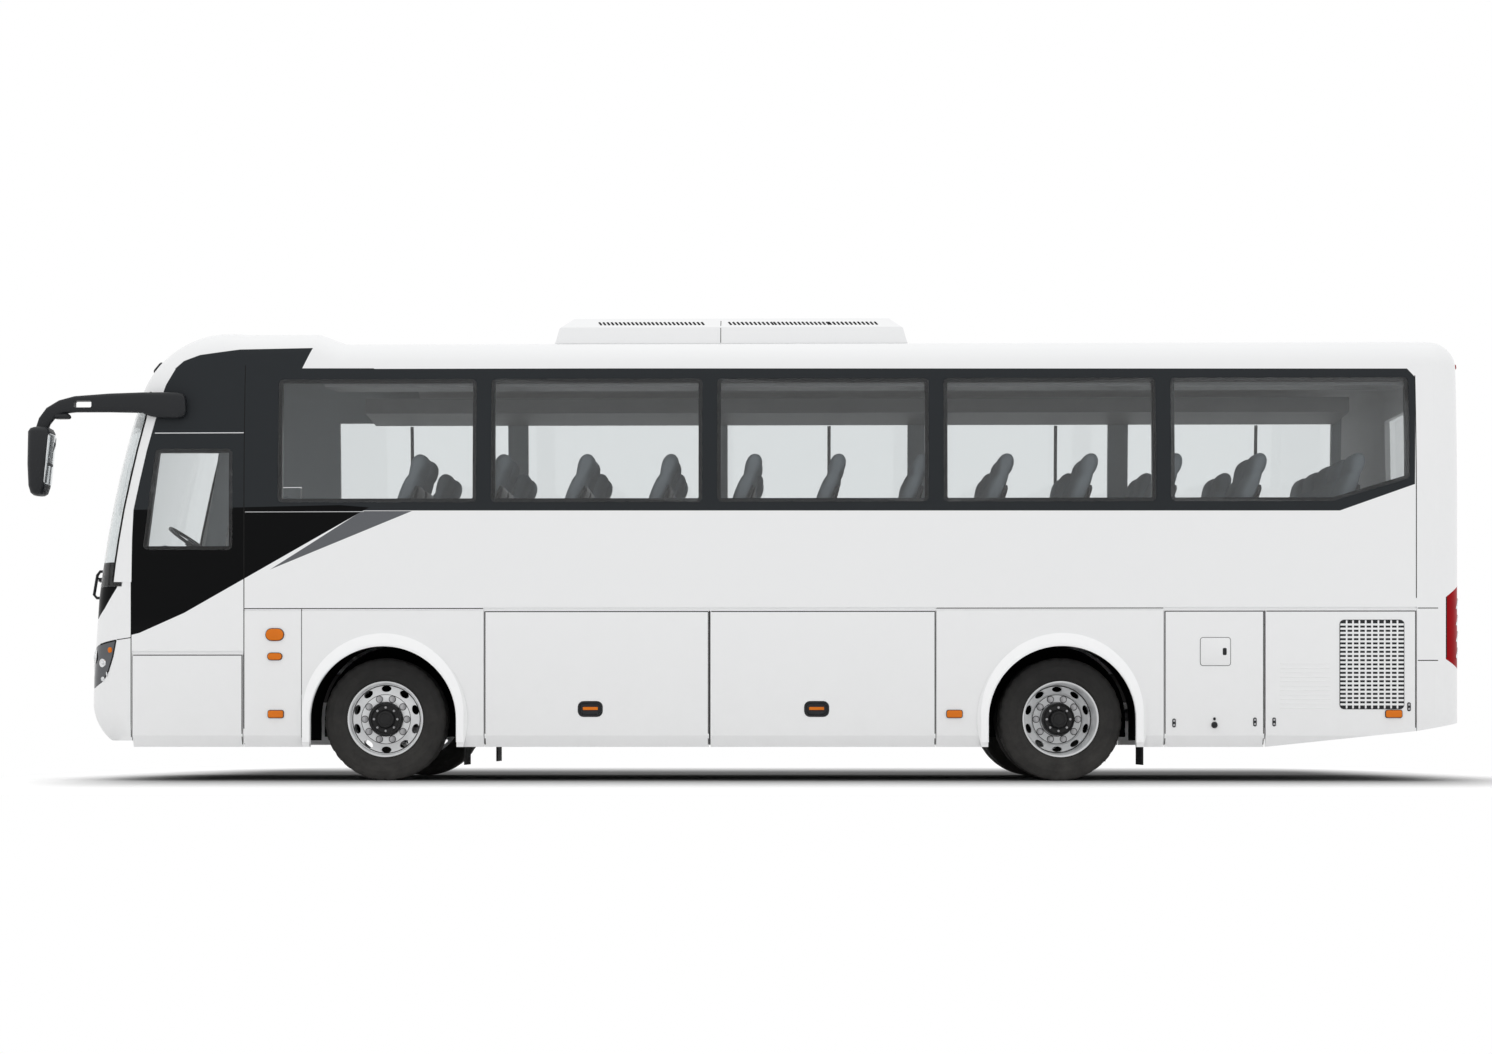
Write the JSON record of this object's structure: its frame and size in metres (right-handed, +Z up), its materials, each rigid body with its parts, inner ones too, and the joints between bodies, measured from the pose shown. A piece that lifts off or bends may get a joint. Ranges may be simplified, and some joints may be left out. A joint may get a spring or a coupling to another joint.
{
  "type": "midibus",
  "caption": "Single-deck rear-engined touring midibus with a bonded window band, lift-up side flaps, a swinging entrance door, steered front wheels and twin rear wheels.",
  "frame": {"origin": "on the ground, under the middle of the overall length and width", "axes": "+X to the front, +Y to the driver's (left) side, +Z up"},
  "size_m": [11.326, 2.83, 3.74],
  "materials": {
    "white_paint": "gloss",
    "black_paint": "gloss",
    "glass": "tinted",
    "lamp": "clear",
    "red_lamp": "clear",
    "amber_lamp": "clear",
    "tyre": "matte",
    "rim": "satin",
    "chassis": "satin",
    "steel": "satin",
    "engine": "matte",
    "rubber": "matte",
    "black_plastic": "matte",
    "grey_plastic": "matte",
    "floor": "covered",
    "seat_fabric": "woven"
  },
  "bodies": {
    "body": {"air_springs": "rubber", "cab_wall_left": "white_paint", "cab_wall_right": "white_paint", "dashboard": "black_plastic", "driver_seat": "seat_fabric", "entrance_steps": "floor", "floor_deck": "floor", "front_axle": "chassis", "front_bumper": "white_paint", "front_cap": "white_paint", "headlamps": "lamp", "luggage_racks": "grey_plastic", "mirrors": "black_plastic", "mudflaps": "rubber", "powertrain": "engine", "rear_axle": "chassis", "rear_cap": "white_paint", "rear_glass": "glass", "roof": "white_paint", "roof_unit": "white_paint", "seats": "seat_fabric", "side_glass_left": "glass", "side_glass_right": "glass", "side_lamps": "amber_lamp", "side_wall_left": "white_paint", "side_wall_right": "white_paint", "skirt_left": "white_paint", "skirt_right": "white_paint", "tail_lamps": "red_lamp", "underframe": "chassis", "wheel_housings": "chassis", "windscreen": "glass", "wipers": "black_plastic"},
    "knuckle_left": {"knuckle_left": "steel"},
    "knuckle_right": {"knuckle_right": "steel"},
    "tie_rod": {"tie_rod": "steel"},
    "steering_wheel": {"steering_wheel": "black_plastic"},
    "front_wheel_left": {"tyre_front_left": "tyre", "rim_front_left": "rim"},
    "front_wheel_right": {"tyre_front_right": "tyre", "rim_front_right": "rim"},
    "rear_wheels_left": {"tyres_rear_left": "tyre", "rims_rear_left": "rim"},
    "rear_wheels_right": {"tyres_rear_right": "tyre", "rims_rear_right": "rim"},
    "door_arm": {"door_arm": "steel"},
    "passenger_door": {"passenger_door": "white_paint", "passenger_door_glass": "glass"},
    "rear_hatch": {"rear_hatch": "white_paint"},
    "cab_flap_left": {"cab_flap_left": "white_paint"},
    "luggage_door_front_left": {"luggage_door_front_left": "white_paint"},
    "luggage_door_front_right": {"luggage_door_front_right": "white_paint"},
    "luggage_door_rear_left": {"luggage_door_rear_left": "white_paint"},
    "luggage_door_rear_right": {"luggage_door_rear_right": "white_paint"},
    "service_door_left": {"service_door_left": "white_paint"},
    "service_door_right": {"service_door_right": "white_paint"},
    "engine_door_left": {"engine_door_left": "white_paint"},
    "engine_door_right": {"engine_door_right": "white_paint"}
  },
  "joints": [
    {"name": "steer_left", "type": "hinge", "parent": "body", "child": "knuckle_left", "pos_m": [2.867, 0.87, 0.488], "axis": [0, 0, 1], "range_deg": [-40, 40]},
    {"name": "steer_right", "type": "hinge", "parent": "body", "child": "knuckle_right", "pos_m": [2.867, -0.87, 0.488], "axis": [0, 0, 1], "range_deg": [-40, 40]},
    {"name": "tie_rod_pivot", "type": "hinge", "parent": "knuckle_left", "child": "tie_rod", "pos_m": [2.667, 0.87, 0.36], "axis": [0, 0, 1], "range_deg": [-40, 40]},
    {"name": "steering_wheel_turn", "type": "hinge", "parent": "body", "child": "steering_wheel", "pos_m": [4.547, 0.56, 1.93], "axis": [-0.5736, 0, 0.8192], "range_deg": [-720, 720]},
    {"name": "front_wheel_left_spin", "type": "hinge", "parent": "knuckle_left", "child": "front_wheel_left", "pos_m": [2.867, 1.03, 0.488], "axis": [0, 1, 0], "continuous": true},
    {"name": "front_wheel_right_spin", "type": "hinge", "parent": "knuckle_right", "child": "front_wheel_right", "pos_m": [2.867, -1.03, 0.488], "axis": [0, 1, 0], "continuous": true},
    {"name": "rear_wheels_left_spin", "type": "hinge", "parent": "body", "child": "rear_wheels_left", "pos_m": [-2.503, 1.03, 0.488], "axis": [0, 1, 0], "continuous": true},
    {"name": "rear_wheels_right_spin", "type": "hinge", "parent": "body", "child": "rear_wheels_right", "pos_m": [-2.503, -1.03, 0.488], "axis": [0, 1, 0], "continuous": true},
    {"name": "luggage_door_front_left_hinge", "type": "hinge", "parent": "body", "child": "luggage_door_front_left", "pos_m": [1.174, 1.237, 1.35], "axis": [1, 0, 0], "range_deg": [0, 95]},
    {"name": "luggage_door_front_right_hinge", "type": "hinge", "parent": "body", "child": "luggage_door_front_right", "pos_m": [1.174, -1.237, 1.35], "axis": [-1, 0, 0], "range_deg": [0, 95]},
    {"name": "luggage_door_rear_left_hinge", "type": "hinge", "parent": "body", "child": "luggage_door_rear_left", "pos_m": [-0.616, 1.237, 1.35], "axis": [1, 0, 0], "range_deg": [0, 95]},
    {"name": "luggage_door_rear_right_hinge", "type": "hinge", "parent": "body", "child": "luggage_door_rear_right", "pos_m": [-0.616, -1.237, 1.35], "axis": [-1, 0, 0], "range_deg": [0, 95]},
    {"name": "service_door_left_hinge", "type": "hinge", "parent": "body", "child": "service_door_left", "pos_m": [-3.699, 1.237, 1.35], "axis": [1, 0, 0], "range_deg": [0, 95]},
    {"name": "service_door_right_hinge", "type": "hinge", "parent": "body", "child": "service_door_right", "pos_m": [-3.699, -1.237, 1.35], "axis": [-1, 0, 0], "range_deg": [0, 95]},
    {"name": "engine_door_left_hinge", "type": "hinge", "parent": "body", "child": "engine_door_left", "pos_m": [-4.6935, 1.237, 1.35], "axis": [1, 0, 0], "range_deg": [0, 95]},
    {"name": "engine_door_right_hinge", "type": "hinge", "parent": "body", "child": "engine_door_right", "pos_m": [-4.6935, -1.237, 1.35], "axis": [-1, 0, 0], "range_deg": [0, 95]},
    {"name": "cab_flap_left_hinge", "type": "hinge", "parent": "body", "child": "cab_flap_left", "pos_m": [4.4205, 1.237, 1.007], "axis": [1, 0, 0], "range_deg": [0, 95]},
    {"name": "rear_hatch_hinge", "type": "hinge", "parent": "body", "child": "rear_hatch", "pos_m": [-5.65, 0, 1.33], "axis": [0, 1, 0], "range_deg": [0, 95]},
    {"name": "door_arm_turn", "type": "hinge", "parent": "body", "child": "door_arm", "pos_m": [4.607, -1.105, 0.9], "axis": [0, 0, 1], "range_deg": [0, 135]},
    {"name": "passenger_door_pivot", "type": "hinge", "parent": "door_arm", "child": "passenger_door", "pos_m": [4.157, -1.105, 0.9], "axis": [0, 0, 1], "range_deg": [-135, 0]}
  ],
  "couplings": [
    {"joint": "steer_right", "follows": "steer_left", "ratio": 1},
    {"joint": "tie_rod_pivot", "follows": "steer_left", "ratio": -1},
    {"joint": "steering_wheel_turn", "follows": "steer_left", "ratio": 18},
    {"joint": "passenger_door_pivot", "follows": "door_arm_turn", "ratio": -1}
  ]
}
